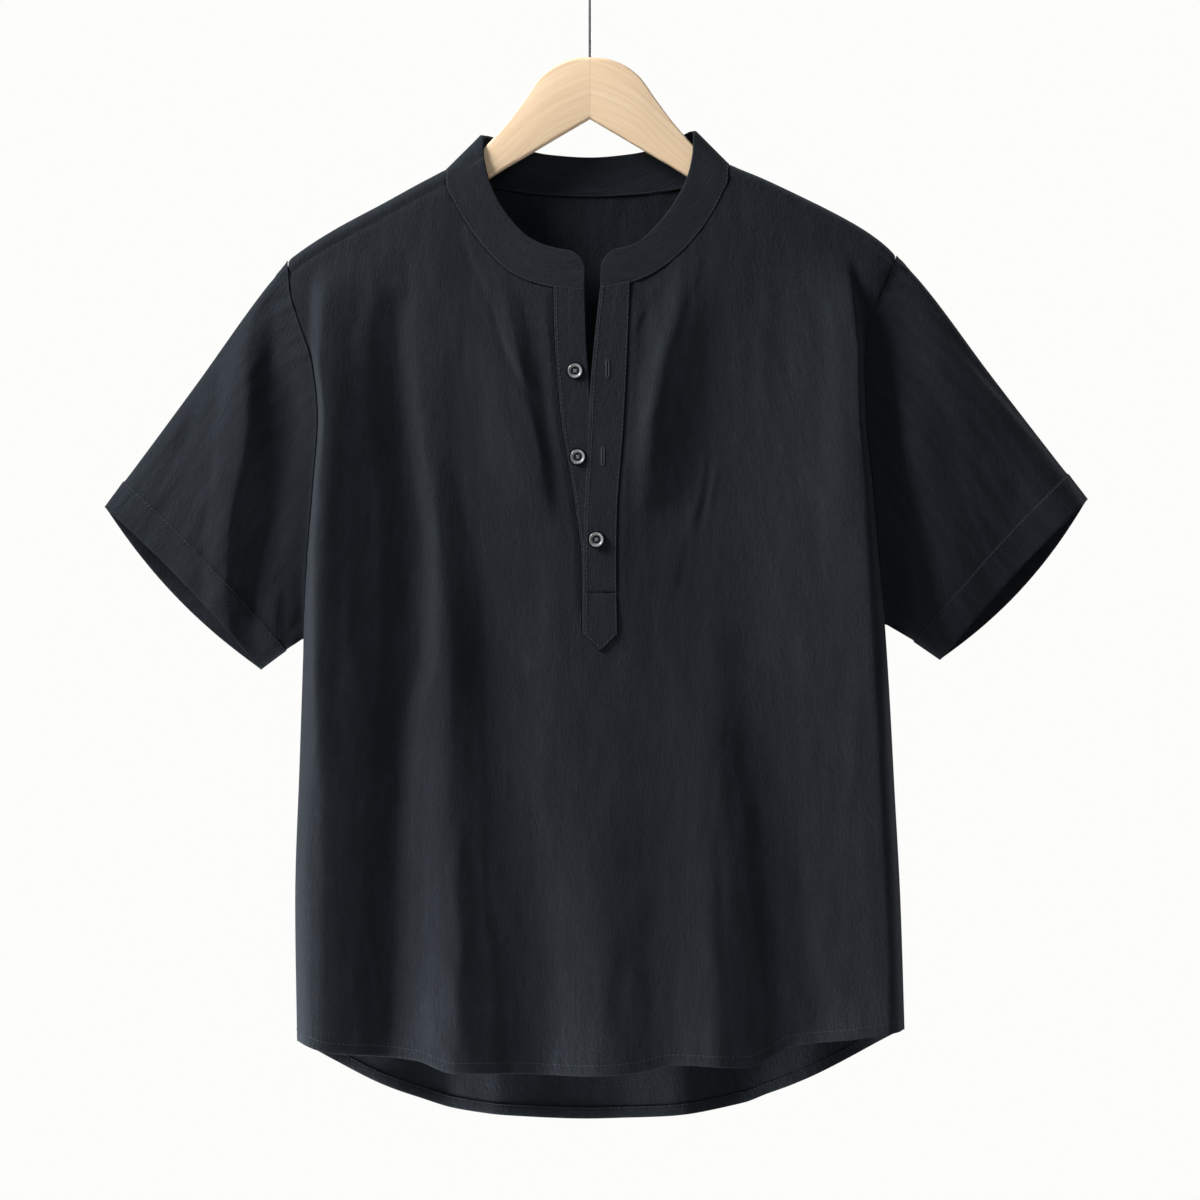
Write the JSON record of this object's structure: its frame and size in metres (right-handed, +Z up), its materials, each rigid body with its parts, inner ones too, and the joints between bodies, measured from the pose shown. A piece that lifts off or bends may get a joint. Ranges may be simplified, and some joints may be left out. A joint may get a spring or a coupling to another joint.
{
  "type": "short-sleeved linen shirt on a wooden hanger",
  "caption": "Hanging short-sleeved linen shirt with a stand band collar, half placket, curved tail and a flat wooden hanger with a wire hook.",
  "frame": {"origin": "inner crown of the hanger's hook, where it sits on a rail", "axes": "+Z up, -Y out of the shirt's front, +X towards the viewer's right when looking at the front"},
  "size_m": [0.7505, 0.0779, 0.909],
  "materials": {
    "black_linen": "plain woven linen, washed and creased, matt",
    "dark_button": "dark horn-like button, half gloss",
    "pale_wood": "pale beech, smooth and clear lacquered",
    "bright_wire": "polished wire"
  },
  "bodies": {
    "root": {"front": "black_linen", "back": "black_linen", "sleeve_left": "black_linen", "sleeve_right": "black_linen", "collar_band": "black_linen", "placket_under": "black_linen", "placket_over": "black_linen", "button_top": "dark_button", "button_middle": "dark_button", "button_low": "dark_button", "hanger_body": "pale_wood", "hanger_hook": "bright_wire"}
  },
  "joints": []
}
